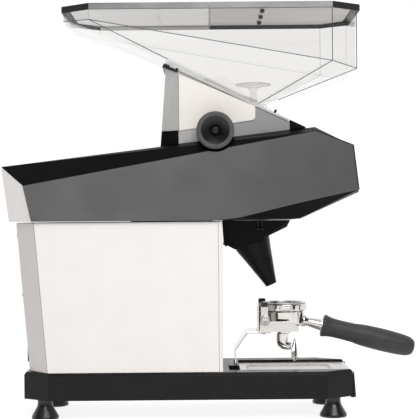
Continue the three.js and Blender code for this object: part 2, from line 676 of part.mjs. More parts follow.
function buildSpout() {
  const middle = 72;
  const outline = [
    [21.5, 287], [23.5, 252.5], [39.6, 244], [71, 255], [92, 268], [117, 277], [121.7, 287],
  ];
  const body = (wall) => hull(mirrored(outline.map(([x, z]) => {
    const high = z > 280;
    const half = (high ? 40 : 31) - wall;
    return [x - wall * Math.sign(x - middle), half, high ? z + wall * 4 : z + wall];
  })));
  const tilt = new THREE.Vector3(-0.38, 0, 0.925);
  const cone = (grow, up, down) => hull([
    ...ring(27 + grow, [66.8 - up * 0.38, 0, 253.3 + up * 0.925], tilt, 28),
    ...ring(8.3 + grow, [94.8 + down * 0.38, 0, 190 - down * 0.925], tilt, 28),
  ]);
  const flange = rod(29.5, [64.9, 0, 257.9], [64.1, 0, 259.9], 28);
  const flangeRoom = rod(30.2, [65.1, 0, 257.4], [63.9, 0, 260.4], 28);
  const shell = cut(body(0), body(2.5), cone(GAP, 7.5, 8), cone(-1, 24, 0));
  part('spout_housing', cut(shell, flangeRoom), 'deepBlack');
  part('grounds_funnel', cut(join(cone(0, 7, 0), flange), cone(-2, 8, 0.5)), 'black');
}

// ---- Portafilter fork ---------------------------------------------------------------

function buildFork() {
  const path = [[39.2, 63.5], [39.2, 95], [57, 120.2], [92, 120.2]];
  part('fork_bracket', bentStrip(path, 2.4, -33, 33), 'chrome');

  const { half, floor, sheet, screwX, screwZ } = FORK;
  const cheek = [
    [76, 145], [89, 145], [91, 137], [123, 137.5], [133, 128.6], [132.6, floor], [75, floor],
  ];
  const legs = [sidePlate(cheek, -half, sheet - half), sidePlate(cheek, half - sheet, half)];
  const slotted = cut(
    box([72, -half, floor], [132.6, half, floor + sheet]),
    box([98, -14, floor - 1], [140, 14, floor + sheet + 1]),
  );
  const back = box([72, -30, floor], [74.5, 30, 160]);
  const studs = [-1, 1].map((side) => rod(2, [screwX, side * 41, screwZ], [screwX, side * 48.2, screwZ], 12));
  part('fork', join(slotted, ...legs, back, ...studs), 'chrome');

  const strap = cut(
    box([77, -44.4, 129], [87.4, -42.6, 165]),
    sidePlate(roundRectangle(screwX, screwZ, 4.8, 10.8, 2.3), -50, -40),
  );
  const lip = box([77, -44.4, 163], [87.4, -36.5, 165]);
  pair('hook', join(strap, lip), 'chrome');
  const screw = turned([
    [2.4, 0], [7.6, 0], [7.6, 4.4], [7, 5], [0, 5], [0, 4], [2.4, 4],
  ], [screwX, -44.8, screwZ], Y.clone().negate(), 24);
  pair('thumbscrew', screw, 'steel');
}

// ---- Portafilter --------------------------------------------------------------------

function buildPortafilter() {
  const { x, rim, rimTop, cup } = PORTAFILTER;
  const shell = turned([
    [5, 116], [10, 116], [10, 124.8], [24, 126], [30, 130], [cup, 134], [cup, 150], [rim, 151.5],
    [rim, rimTop], [29.8, rimTop], [29.8, 150], [28.5, 148], [28.5, 133], [5, 128.5],
  ], [x, 0, 0], Z, 28);
  const lugs = [-1, 1].map((side) => box(
    [x - 9, side > 0 ? 33 : -38.5, 152.5], [x + 9, side > 0 ? 38.5 : -33, 158.5]));
  const neck = turned([
    [0, -4], [8, -4], [8, 3], [6.2, 6], [8.6, 25], [8.6, 28.6], [5, 28.8], [5, 40], [0, 40],
  ], [x + 29.5, 0, 134.5], handleAxis, 20);
  const inside = rod(30, [x, 0, 133.2], [x, 0, 149], 28);
  part('portafilter_body', join(shell, ...lugs, cut(neck, inside)), 'chrome');

  const basket = turned([
    [0, 137], [24, 137], [27.4, 140], [29.4, rimTop + GAP], [33.2, rimTop + GAP],
    [33.2, rimTop + 1.6], [28.4, rimTop + 1.6], [26.6, 141.4], [23.6, 138.2], [0, 138.2],
  ], [x, 0, 0], Z, 28);
  part('filter_basket', basket, 'steel');

  const handle = turned([
    [0, 0], [16.4, 0], [16.8, 2.5], [14.8, 10], [14, 24], [14.4, 46], [15.2, 56], [16.8, 84],
    [16.8, 102], [15.8, 123], [14.2, 134], [10.5, 140.6], [5, 142.8], [0, 143],
  ], alongHandle(x + 29.5, 134.5, 29.2), handleAxis, 28);
  const socket = rod(5.4, alongHandle(x + 29.5, 134.5, 27), alongHandle(x + 29.5, 134.5, 41), 20);
  part('portafilter_handle', cut(handle, socket), 'grip');
  buildPortafilterSpout(x);
}

const HANDLE_DROP = 0.249;
const handleAxis = new THREE.Vector3(Math.cos(HANDLE_DROP), 0, -Math.sin(HANDLE_DROP));

/** The point `s` along the handle's axis from (x, z). */
const alongHandle = (x, z, s) => [x + handleAxis.x * s, 0, z + handleAxis.z * s];

/** The double spout: an elbow under the cup that splits into two open troughs. */
function buildPortafilterSpout(x) {
  const stem = join(
    hull([...ring(10.4, [x - 2, 0, 115.6], Z, 24), ...ring(9.4, [x - 3, 0, 103], Z, 24)]),
    hull([...ring(9.4, [x - 3, 0, 104], Z, 24), ...ring(7, [x + 4, 0, 95.5], Z, 24)]),
  );
  const trough = (side) => {
    const y = side * 11;
    return cut(
      hull([
        ...ring(6.2, [x + 12, y, 92], Z, 12), ...ring(5, [x + 13, y * 1.25, 74], Z, 12),
        ...ring(6, [x + 6, y * 0.5, 96], Z, 12),
      ]),
      hull([
        ...ring(4.6, [x + 12, y * 1.05, 97], Z, 12), ...ring(3.4, [x + 13, y * 1.25, 73], Z, 12),
      ]),
    );
  };
  const plate = hull(mirrored([
    [x + 15, 12, 104], [x + 17, 12, 104], [x + 19, 14, 84], [x + 16.6, 14, 80],
  ]));
  const well = rod(5, [x - 2, 0, 100], [x - 2, 0, 120], 20);
  part('portafilter_spout', cut(join(stem, trough(-1), trough(1), plate), well), 'chrome');
}

buildBase();
buildFeet();
buildTray();
buildColumn();
buildElectrics();
buildHead();
buildNeck();
buildSeat();
buildMechanism();
buildAdjuster();
buildHopper();
buildLid();
buildSpout();
buildFork();
buildPortafilter();

export default grinder;
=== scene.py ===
"""The looks of a bench burr coffee grinder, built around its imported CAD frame.

Metres, +Z up, +X towards the operator. Outlines, profiles, bevels and the points given to at() are in
millimetres, and `MM` turns them into metres.
"""
import json
import math

import bmesh
import bpy
from mathutils import Matrix, Vector


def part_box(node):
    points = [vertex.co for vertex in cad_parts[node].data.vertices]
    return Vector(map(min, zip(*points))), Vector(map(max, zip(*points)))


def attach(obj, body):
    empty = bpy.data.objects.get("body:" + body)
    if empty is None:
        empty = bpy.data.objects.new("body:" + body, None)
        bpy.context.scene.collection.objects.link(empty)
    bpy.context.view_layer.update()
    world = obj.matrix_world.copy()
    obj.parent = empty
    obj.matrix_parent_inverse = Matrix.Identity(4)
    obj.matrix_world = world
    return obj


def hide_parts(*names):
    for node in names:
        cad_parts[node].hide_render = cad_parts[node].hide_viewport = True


MM = 0.001
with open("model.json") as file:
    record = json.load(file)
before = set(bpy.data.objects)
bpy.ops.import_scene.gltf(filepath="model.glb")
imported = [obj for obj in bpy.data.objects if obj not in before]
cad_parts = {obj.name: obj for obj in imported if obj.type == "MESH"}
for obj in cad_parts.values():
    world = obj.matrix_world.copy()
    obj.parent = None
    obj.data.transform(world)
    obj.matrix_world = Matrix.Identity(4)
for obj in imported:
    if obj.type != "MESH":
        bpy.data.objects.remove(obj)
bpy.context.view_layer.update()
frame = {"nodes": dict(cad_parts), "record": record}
NODES = frame["nodes"]

X, Y, Z = Vector((1, 0, 0)), Vector((0, 1, 0)), Vector((0, 0, 1))


# ---- Camera, light and floor ------------------------------------------------------------

CAMERA_PLACE = (-0.0048, -1.780, 0.2972)
CAMERA_TILT = 0.0086
LENS_MM = 101
SENSOR_MM = 36
SHIFT_Y = 0.0107

# The world's brightness by direction. It turns from dim to white over HORIZON along Y, and behind the
# camera a flag on each side is dark from its near edge to its far edge along X.
WORLD_POWER = 1.04
HORIZON = (-0.15, 0.3)
BEHIND_CAMERA = 0.42
FLAG_NEAR_EDGE, FLAG_FAR_EDGE = (0.55, 0.7), (0.86, 0.97)
FLAG_SHADE, FLAG_BEYOND = 0.12, 0.9

FLOOR_REACH = 8
FLOOR_GLOW = 0.78
# Each card's bearing from straight in front of the object, in degrees, and its width.
CARDS = {"card_left": (-38, 0.17), "card_right": (52, 0.22), "card_far_right": (84, 0.12)}
CARD_DISTANCE, CARD_HEIGHT = 0.9, 0.6
LIGHT_TARGET = (0, 0, 0.3)


def make_camera():
    """A long lens level with the object's middle, square to its left side."""
    data = bpy.data.cameras.new("camera")
    data.lens = LENS_MM
    data.sensor_width = SENSOR_MM
    data.shift_y = SHIFT_Y
    camera = bpy.data.objects.new("camera", data)
    camera.location = CAMERA_PLACE
    camera.rotation_euler = (math.pi / 2, CAMERA_TILT, 0)
    bpy.context.scene.collection.objects.link(camera)
    bpy.context.scene.camera = camera


def area_light(name, place, size, power, spread=180):
    """A rectangular lamp that faces the object; its spread is in degrees, and less makes it narrower."""
    data = bpy.data.lights.new(name, "AREA")
    data.shape = "RECTANGLE"
    data.size, data.size_y = size
    data.energy = power
    data.spread = math.radians(spread)
    light = bpy.data.objects.new(name, data)
    light.location = place
    aim = Vector(LIGHT_TARGET) - Vector(place)
    light.rotation_euler = aim.to_track_quat("-Z", "Y").to_euler()
    bpy.context.scene.collection.objects.link(light)


def make_world():
    """A studio, white to the camera and beyond the object, but dim behind the camera with two dark flags."""
    world = bpy.data.worlds.new("studio")
    bpy.context.scene.world = world
    world.use_nodes = True
    tree = world.node_tree
    back = tree.nodes["Background"]
    back.inputs["Color"].default_value = (1, 1, 1, 1)
    place = tree.nodes.new("ShaderNodeTexCoord")
    split = tree.nodes.new("ShaderNodeSeparateXYZ")
    tree.links.new(place.outputs["Generated"], split.inputs[0])
    side = maths(tree, "ABSOLUTE", split.outputs["X"])
    ahead = ramp(tree, split.outputs["Y"], *HORIZON, 0.0, 1.0)
    flag_in = ramp(tree, side, *FLAG_NEAR_EDGE, 1.0, FLAG_SHADE)
    flag_out = ramp(tree, side, *FLAG_FAR_EDGE, 0.0, FLAG_BEYOND)
    flags = maths(tree, "MAXIMUM", flag_in, flag_out)
    behind = maths(tree, "MULTIPLY", flags, BEHIND_CAMERA)
    seen = tree.nodes.new("ShaderNodeLightPath").outputs["Is Camera Ray"]
    both = maths(tree, "MAXIMUM", maths(tree, "MAXIMUM", ahead, behind), seen)
    tree.links.new(maths(tree, "MULTIPLY", both, WORLD_POWER), back.inputs["Strength"])


def maths(tree, operation, *values):
    """A Math node of sockets and numbers."""
    node = tree.nodes.new("ShaderNodeMath")
    node.operation = operation
    for socket, value in zip(node.inputs, values):
        if isinstance(value, (int, float)):
            socket.default_value = value
        else:
            tree.links.new(value, socket)
    return node.outputs[0]


def ramp(tree, source, low, high, at_low, at_high):
    """A smooth step of `source` from one value to another."""
    node = tree.nodes.new("ShaderNodeMapRange")
    node.interpolation_type = "SMOOTHSTEP"
    for name, value in zip(("From Min", "From Max", "To Min", "To Max"), (low, high, at_low, at_high)):
        node.inputs[name].default_value = value
    tree.links.new(source, node.inputs["Value"])
    return node.outputs["Result"]


def make_floor():
    """A wide pale floor that glows, so that it comes close to the backdrop's white."""
    mesh = bpy.data.meshes.new("floor")
    corners = [(x * FLOOR_REACH, y * FLOOR_REACH, 0) for x, y in ((-1, -1), (1, -1), (1, 1), (-1, 1))]
    mesh.from_pydata(corners, [], [(0, 1, 2, 3)])
    floor = bpy.data.objects.new("floor", mesh)
    bpy.context.scene.collection.objects.link(floor)
    white = material("floor_white", (0.35, 0.35, 0.35), 0.9, spec=0.0)
    shader = white.node_tree.nodes["Principled BSDF"]
    shader.inputs["Emission Color"].default_value = (1, 1, 1, 1)
    shader.inputs["Emission Strength"].default_value = FLOOR_GLOW
    floor.data.materials.append(white)


def make_card(name, bearing, width):
    """A narrow black card that only mirrors see, for the dark streaks in polished metal."""
    across = Vector((math.cos(bearing), math.sin(bearing), 0)) * width / 2
    foot = Vector((math.sin(bearing), -math.cos(bearing), 0)) * CARD_DISTANCE
    top = foot + Z * CARD_HEIGHT
    mesh = bpy.data.meshes.new(name)
    mesh.from_pydata([foot - across, foot + across, top + across, top - across], [], [(0, 1, 2, 3)])
    card = bpy.data.objects.new(name, mesh)
    bpy.context.scene.collection.objects.link(card)
    mesh.materials.append(material(name + "_black", (0.01, 0.01, 0.01), 1.0, spec=0.0))
    card.visible_camera = False
    card.visible_diffuse = False
    card.visible_shadow = False
    card.visible_transmission = False


# ---- Materials --------------------------------------------------------------------------

COAT_ROUGHNESS = 0.12
NOISE_SPAN = (0.3, 0.7)


def material(name, colour, rough, metal=0.0, spec=0.5, coat=0.0, mottle=None, rough_by=None, bump=None,
             painted_light_fades=()):
    """A Principled material with object-space detail.

    mottle is (share, scale): how far the colour wanders. rough_by is (amount, scale). bump is
    (depth in mm, scale), where a scale is a number or three, one for each axis, in cells a metre.
    Each fade in the last argument is painted light or shade along X: (x from, x to, colour), the colour there
    at and beyond the first x, gone by the second.
    """
    made = bpy.data.materials.new(name)
    made.use_nodes = True
    tree = made.node_tree
    shader = tree.nodes["Principled BSDF"]
    shader.inputs["Base Color"].default_value = (*colour, 1)
    shader.inputs["Roughness"].default_value = rough
    shader.inputs["Metallic"].default_value = metal
    shader.inputs["Specular IOR Level"].default_value = spec
    shader.inputs["Coat Weight"].default_value = coat
    shader.inputs["Coat Roughness"].default_value = COAT_ROUGHNESS
    if mottle:
        share, scale = mottle
        noise = noise_node(tree, scale, detail=5)
        mix = tree.nodes.new("ShaderNodeMix")
        mix.data_type = "RGBA"
        dark = tuple(c * (1 - share) for c in colour)
        light = tuple(min(c * (1 + share), 1) for c in colour)
        mix.inputs["A"].default_value = (*dark, 1)
        mix.inputs["B"].default_value = (*light, 1)
        tree.links.new(ramp(tree, noise, *NOISE_SPAN, 0, 1), mix.inputs["Factor"])
        tree.links.new(mix.outputs["Result"], shader.inputs["Base Color"])
    # Painted light and shade: a colour that fades in along X.
    for start, end, painted_colour in painted_light_fades:
        place = tree.nodes.new("ShaderNodeTexCoord")
        split = tree.nodes.new("ShaderNodeSeparateXYZ")
        tree.links.new(place.outputs["Object"], split.inputs[0])
        mix = tree.nodes.new("ShaderNodeMix")
        mix.data_type = "RGBA"
        share = maths(tree, "MULTIPLY_ADD", split.outputs["X"], 1 / (end - start), -start / (end - start))
        tree.links.new(ramp(tree, share, 0, 1, 0, 1), mix.inputs["Factor"])
        mix.inputs["A"].default_value = (*painted_colour, 1)
        tree.links.new(shader.inputs["Base Color"].links[0].from_socket, mix.inputs["B"])
        tree.links.new(mix.outputs["Result"], shader.inputs["Base Color"])
    if rough_by:
        amount, scale = rough_by
        noise = noise_node(tree, scale, detail=3)
        rough_range = ramp(tree, noise, *NOISE_SPAN, max(rough - amount, 0.02), rough + amount)
        tree.links.new(rough_range, shader.inputs["Roughness"])
    if bump:
        depth, scale = bump
        node = tree.nodes.new("ShaderNodeBump")
        node.inputs["Distance"].default_value = depth * MM
        node.inputs["Strength"].default_value = 1.0
        tree.links.new(noise_node(tree, scale, detail=2), node.inputs["Height"])
        tree.links.new(node.outputs["Normal"], shader.inputs["Normal"])
    return made


def noise_node(tree, scale, detail):
    """Noise in object space, with its own scale along each axis."""
    place = tree.nodes.new("ShaderNodeTexCoord")
    mapping = tree.nodes.new("ShaderNodeMapping")
    axes = scale if isinstance(scale, tuple) else (scale,) * 3
    mapping.inputs["Scale"].default_value = axes
    noise = tree.nodes.new("ShaderNodeTexNoise")
    noise.inputs["Scale"].default_value = 1.0
    noise.inputs["Detail"].default_value = detail
    tree.links.new(place.outputs["Object"], mapping.inputs["Vector"])
    tree.links.new(mapping.outputs["Vector"], noise.inputs["Vector"])
    return noise.outputs["Fac"]


def clear_material(name, tint, through, shine):
    """Clear plastic as a thin wall: see-through, with a mirror that grows at grazing angles."""
    least_mirror, most_mirror = 0.03, 0.5
    made = bpy.data.materials.new(name)
    made.use_nodes = True
    tree = made.node_tree
    tree.nodes.remove(tree.nodes["Principled BSDF"])
    glass = tree.nodes.new("ShaderNodeBsdfTransparent")
    glass.inputs["Color"].default_value = (*(c * through for c in tint), 1)
    gloss = tree.nodes.new("ShaderNodeBsdfGlossy")
    gloss.inputs["Roughness"].default_value = 0.04
    gloss.inputs["Color"].default_value = (shine, shine, shine, 1)
    facing = tree.nodes.new("ShaderNodeLayerWeight")
    facing.inputs["Blend"].default_value = 0.5
    mirror = maths(tree, "POWER", facing.outputs["Facing"], 4.0)
    mix = tree.nodes.new("ShaderNodeMixShader")
    tree.links.new(ramp(tree, mirror, 0.0, 1.0, least_mirror, most_mirror), mix.inputs[0])
    tree.links.new(glass.outputs[0], mix.inputs[1])
    tree.links.new(gloss.outputs[0], mix.inputs[2])
    tree.links.new(mix.outputs[0], tree.nodes["Material Output"].inputs["Surface"])
    return made


LOOKS = {
    "base_black": dict(colour=(0.006, 0.006, 0.0062), rough=0.3, spec=0.22, mottle=(0.12, 35),
                       rough_by=(0.04, 60), bump=(0.004, 1400)),
    "zinc_steel": dict(colour=(0.52, 0.52, 0.5), rough=0.34, metal=1, mottle=(0.08, 60),
                       rough_by=(0.08, (30, 30, 400))),
    "brushed_tray": dict(colour=(0.62, 0.6, 0.585), rough=0.3, metal=1, mottle=(0.03, 90),
                         rough_by=(0.03, (12, 900, 300)), bump=(0.0015, (20, 1500, 800))),
    "white_panel": dict(colour=(0.825, 0.795, 0.768), rough=0.36, mottle=(0.012, 25), rough_by=(0.04, 50),
                        bump=(0.012, 1100)),
    # grey_panel's fade is painted shade, darker towards the front.
    "grey_panel": dict(colour=(0.118, 0.118, 0.12), rough=0.4, metal=0.3, mottle=(0.09, 14),
                       rough_by=(0.05, 30), bump=(0.006, 1600),
                       painted_light_fades=((0.22, -0.15, (0.075, 0.074, 0.073)),)),
    "head_black": dict(colour=(0.003, 0.003, 0.0032), rough=0.45, spec=0.08, mottle=(0.15, 30),
                       rough_by=(0.02, 25), bump=(0.004, 1400)),
    "black_plastic": dict(colour=(0.003, 0.003, 0.0032), rough=0.32, spec=0.14, mottle=(0.15, 60),
                          rough_by=(0.08, 120), bump=(0.02, 900)),
    "circuit_board": dict(colour=(0.01, 0.09, 0.035), rough=0.35, mottle=(0.3, 300)),
    "display_glass": dict(colour=(0.004, 0.004, 0.005), rough=0.05, coat=1.0, mottle=(0.2, 40)),
    "button_steel": dict(colour=(0.6, 0.59, 0.57), rough=0.25, metal=1, rough_by=(0.08, (400, 400, 30))),
    # neck_grey's fades are a painted reflection, lighter towards the rear, and a painted highlight in a
    # bright band at its rear end.
    "neck_grey": dict(colour=(0.27, 0.27, 0.27), rough=0.42, metal=0.45, mottle=(0.16, 700),
                      rough_by=(0.08, 500), bump=(0.025, 1300),
                      painted_light_fades=((-0.05, 0.08, (0.42, 0.415, 0.41)), (-0.048, -0.0465, (0.6, 0.585, 0.57)))),
    "cream_plate": dict(colour=(0.8, 0.755, 0.71), rough=0.4, mottle=(0.012, 40), bump=(0.01, 1200)),
    "cast_aluminium": dict(colour=(0.5, 0.5, 0.49), rough=0.38, metal=1, mottle=(0.1, 300),
                           bump=(0.04, 900)),
    "tool_steel": dict(colour=(0.33, 0.33, 0.34), rough=0.28, metal=1, rough_by=(0.1, 500)),
    "brass": dict(colour=(0.62, 0.42, 0.17), rough=0.3, metal=1, mottle=(0.08, 200), rough_by=(0.1, 300)),
    "knob_black": dict(colour=(0.075, 0.073, 0.073), rough=0.5, spec=0.3, mottle=(0.1, 80),
                       bump=(0.02, 1200)),
    "lid_black": dict(colour=(0.018, 0.018, 0.019), rough=0.34, spec=0.3, mottle=(0.12, 40),
                      rough_by=(0.015, 25), bump=(0.004, 1400)),
    "chrome": dict(colour=(0.7, 0.675, 0.65), rough=0.1, metal=1, mottle=(0.03, 120), rough_by=(0.04, 60)),
    "turned_steel": dict(colour=(0.6, 0.585, 0.57), rough=0.24, metal=1, mottle=(0.05, 200),
                         rough_by=(0.08, 700)),
    "grip_rubber": dict(colour=(0.032, 0.032, 0.033), rough=0.52, spec=0.42, mottle=(0.1, 60),
                        rough_by=(0.05, 90), bump=(0.012, 1100)),
    "foot_rubber": dict(colour=(0.008, 0.008, 0.008), rough=0.3, mottle=(0.2, 60), rough_by=(0.08, 120)),
    "dish_black": dict(colour=(0.008, 0.008, 0.008), rough=0.34, mottle=(0.2, 60), bump=(0.01, 900)),
    "lid_underside": dict(colour=(0.58, 0.56, 0.54), rough=0.35, mottle=(0.03, 30)),
    "lid_rail": dict(colour=(0.26, 0.26, 0.26), rough=0.32, metal=0.8, mottle=(0.1, 25),
                     rough_by=(0.04, (20, 300, 600))),
    # Painted shade for the marks on the hopper's near edges.
    "edge_grey": dict(colour=(0.07, 0.07, 0.07), rough=0.3, mottle=(0.2, 80)),
    # Darker copies of white_panel: painted shade for the column's and the head's rear covers.
    "column_back_painted_shade": dict(colour=(0.6, 0.565, 0.55), rough=0.36, mottle=(0.02, 25), rough_by=(0.04, 50),
                         bump=(0.012, 1100)),
    "head_back_painted_shade": dict(colour=(0.74, 0.715, 0.7), rough=0.36, mottle=(0.02, 25), rough_by=(0.04, 50),
                        bump=(0.012, 1100)),
    "lid_lining_pale": dict(colour=(0.95, 0.945, 0.94), rough=0.4, mottle=(0.02, 30)),
    # Painted shade for the tray's dish.
    "dish_painted_shade": dict(colour=(0.4, 0.365, 0.34), rough=0.34, metal=1, mottle=(0.08, 90)),
    "rail_grey": dict(colour=(0.5, 0.49, 0.48), rough=0.35, metal=0.3, mottle=(0.06, 60),
                      rough_by=(0.05, (20, 400, 400))),
    # Painted shade for the gap behind the tray.
    "matte_black": dict(colour=(0.002, 0.002, 0.002), rough=1.0, spec=0.0, mottle=(0.3, 200),
                        bump=(0.05, 1200)),
    "tile_grey": dict(colour=(0.05, 0.055, 0.06), rough=0.15, coat=0.5, mottle=(0.2, 60)),
    "blackened_steel": dict(colour=(0.03, 0.03, 0.03), rough=0.3, metal=0.8, mottle=(0.1, 200)),
}
CLEAR_LOOKS = {
    "clear_hopper": dict(tint=(1, 0.997, 0.994), through=0.958, shine=1.0),
    # Painted shade on the hopper's bevels.
    "hopper_edge_painted_shade": dict(tint=(0.82, 0.81, 0.8), through=1.0, shine=0.8),
    "guard_clear": dict(tint=(0.97, 0.965, 0.96), through=0.97, shine=0.35),
    # Painted shade, faint, for the marks on the hopper's far edges.
    "edge_faint": dict(tint=(0.8, 0.8, 0.8), through=1.0, shine=0.9),
}


def make_materials():
    """Every material of the object, by its name."""
    made = {name: material(name, **look) for name, look in LOOKS.items()}
    made.update({name: clear_material(name, **look) for name, look in CLEAR_LOOKS.items()})
    return made


# ---- Mesh helpers -----------------------------------------------------------------------

DATUM_X = 4.79
MERGE_MM = 1e-4
POLE_MM = 1e-6


def at(x, y, z):
    """The place of a point given in millimetres ahead of the column's datum, across and up."""
    return Vector((x - DATUM_X, y, z)) * MM


def stand(origin, axis=Z, side=None):
    """The matrix that puts a mesh made in millimetres at `origin`, its z along `axis`, its x along `side`."""
    up = axis.normalized()
    across = side.normalized() if side else up.orthogonal().normalized()
    turn = Matrix((across, up.cross(across), up)).transposed().to_4x4()
    return Matrix.Translation(origin) @ turn @ Matrix.Scale(MM, 4)


def fillet(points, steps=5):
    """Rounds the corners of a line of (u, v) points that give a third number, their reach."""
    line = []
    for i, point in enumerate(points):
        here = Vector(point[:2])
        if len(point) < 3:
            line.append(here)
            continue
        before, after = Vector(points[i - 1][:2]), Vector(points[(i + 1) % len(points)][:2])
        start = here + (before - here).normalized() * point[2]
        end = here + (after - here).normalized() * point[2]
        for k in range(steps + 1):
            t = k / steps
            line.append(start * (1 - t) ** 2 + here * 2 * t * (1 - t) + end * t * t)
    return line


def flow(points, steps=8):
    """A smooth line through (u, v) points."""
    line = []
    path = [Vector(point) for point in points]
    path = [path[0] * 2 - path[1], *path, path[-1] * 2 - path[-2]]
    for a, b, c, d in zip(path, path[1:], path[2:], path[3:]):
        for k in range(steps):
            t = k / steps
            line.append((b * 2 + (c - a) * t + (a * 2 - b * 5 + c * 4 - d) * t * t
                         + (b * 3 - a - c * 3 + d) * t ** 3) / 2)
    return [*line, path[-2]]


def circle(radius, z, count=72, flutes=0, depth=0):
    """A ring of points about z, fluted if asked."""
    ring = []
    for i in range(count):
        angle = math.tau * i / count
        r = radius - depth * (0.5 - 0.5 * math.cos(flutes * angle)) if flutes else radius
        ring.append(Vector((r * math.cos(angle), r * math.sin(angle), z)))
    return ring


def rectangle(length, width, radius, z, centre=(0, 0), per_corner=8):
    """A round-cornered rectangle of points."""
    ring = []
    for corner, (sx, sy) in enumerate(((1, 1), (-1, 1), (-1, -1), (1, -1))):
        for k in range(per_corner + 1):
            angle = math.pi / 2 * (corner + k / per_corner)
            x = sx * (length / 2 - radius) + radius * math.cos(angle)
            y = sy * (width / 2 - radius) + radius * math.sin(angle)
            ring.append(Vector((centre[0] + x, centre[1] + y, z)))
    return ring


def loft(rings, closed=False, caps=True):
    """A mesh through rings of points; a closed one joins its last ring to its first."""
    bm = bmesh.new()
    rows = [[bm.verts.new(p) for p in ring] for ring in rings]
    pairs = list(zip(rows, rows[1:]))
    if closed:
        pairs.append((rows[-1], rows[0]))
    count = len(rows[0])
    for low, high in pairs:
        for i in range(count):
            j = (i + 1) % count
            bm.faces.new((low[i], low[j], high[j], high[i]))
    if caps and not closed:
        bm.faces.new(reversed(rows[0]))
        bm.faces.new(rows[-1])
    bmesh.ops.remove_doubles(bm, verts=bm.verts, dist=MERGE_MM)
    bmesh.ops.recalc_face_normals(bm, faces=bm.faces)
    return bm


def lathe(profile, closed=False, count=72, flutes=0, depth=0):
    """A mesh turned about z from (radius, z) points, from the axis to the axis unless closed."""
    rings = [circle(max(r, POLE_MM), z, count, flutes if r > 1 else 0, depth) for r, z in profile]
    return loft(rings, closed, caps=False)


def prism(outline, low, high):
    """A mesh extruded along z from (x, y) points."""
    return loft([[Vector((x, y, z)) for x, y in outline] for z in (low, high)])


def piece(name, bm, place, body, look, replaces=(), bevel=0.0, sharp=35):
    """Makes an object of a mesh in millimetres that moves with a CAD body."""
    bm.transform(place)
    for face in bm.faces:
        face.smooth = True
    for edge in bm.edges:
        edge.smooth = len(edge.link_faces) == 2 and edge.calc_face_angle(0) < math.radians(sharp)
    mesh = bpy.data.meshes.new(name)
    bm.to_mesh(mesh)
    bm.free()
    made = bpy.data.objects.new(name, mesh)
    bpy.context.scene.collection.objects.link(made)
    for one in look if isinstance(look, tuple) else (look,):
        mesh.materials.append(PAINT[one])
    if bevel:
        round_edges(made, bevel)
    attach(made, body)
    if replaces:
        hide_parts(*replaces)
    return made


def round_edges(thing, width_mm, segments=2, angle=28, edge_material=None):
    """Softens sharp edges, and shades flat faces flat and the rest smooth."""
    bevel = thing.modifiers.new("bevel", "BEVEL")
    bevel.width = width_mm * MM
    bevel.segments = segments
    bevel.limit_method = "ANGLE"
    bevel.angle_limit = math.radians(angle)
    if edge_material is not None:
        bevel.material = edge_material
    shade = thing.modifiers.new("shade", "WEIGHTED_NORMAL")
    shade.mode = "FACE_AREA"
    shade.weight = 50
    shade.keep_sharp = True


def dress(node, look, bevel, edge=None):
    """Gives a CAD node its material and soft edges, without touching its vertices."""
    thing = NODES[node]
    thing.data.materials.clear()
    thing.data.materials.append(PAINT[look])
    if edge:
        thing.data.materials.append(PAINT[edge])
    weld = thing.modifiers.new("weld", "WELD")
    weld.merge_threshold = 1e-6
    round_edges(thing, bevel, edge_material=1 if edge else None)


PAINT = make_materials()
SLOTS = {part["node"]: part["material_slot"] for part in frame["record"]["subparts"]}

# The widths of the soft edges of the CAD nodes that stay.
BEVELS = {
    "base_frame": 1.6, "base_front_fascia": 1.1, "column_front_cover": 1.0,
    "column_panel_left": 0.5, "column_panel_right": 0.5, "column_rear_cover": 1.2, "head_shell": 1.2,
    "head_rear_cover": 1.6, "head_panel_left": 0.6, "head_panel_right": 0.6, "head_front_panel": 0.5,
    "neck_housing": 1.4, "neck_rear_foot": 1.2, "neck_front_tip": 1.2, "cheek_plate_left": 0.5,
    "cheek_plate_right": 0.5, "hopper": 0.7, "lid_front": 0.9, "lid_rear": 0.9, "spout_housing": 1.0,
    "fork": 0.5, "fork_bracket": 0.5, "mains_inlet": 0.8, "power_switch": 0.8, "motor_housing": 0.8,
}
FINE_BEVEL = 0.3

# The nodes given a darker copy of white_panel, painted shade on the column's and the head's rear covers.
PAINTED_SHADE_LOOK = {"column_rear_cover": "column_back_painted_shade", "head_rear_cover": "head_back_painted_shade"}

for node, slot_name in SLOTS.items():
    # The hopper's bevels take a greyer clear material, painted shade along its edges.
    if node == "hopper":
        dress(node, "clear_hopper", BEVELS[node], "hopper_edge_painted_shade")
    else:
        dress(node, PAINTED_SHADE_LOOK.get(node, slot_name), BEVELS.get(node, FINE_BEVEL))


# ---- Feet, base and tray ----------------------------------------------------------------

def make_feet():
    """Four moulded levelling feet, each with a soft rim, a flared skirt and a narrow neck."""
    profile = fillet([
        (0, 0), (19, 0, 0.8), (20, 1.6, 0.8), (19.6, 4.2, 1.2), (11.4, 18.6, 3), (10.8, 24, 2),
        (11.2, 29.2, 0.4), (4, 29.4), (4, 40), (0, 40),
    ])
    for name in ("foot_rear_left", "foot_rear_right", "foot_front_left", "foot_front_right"):
        low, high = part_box(name)
        place = stand(Vector(((low.x + high.x) / 2, (low.y + high.y) / 2, 0)))
        piece(name.replace("foot", "levelling_foot"), lathe(profile), place, name, "foot_rubber",
              (name,))


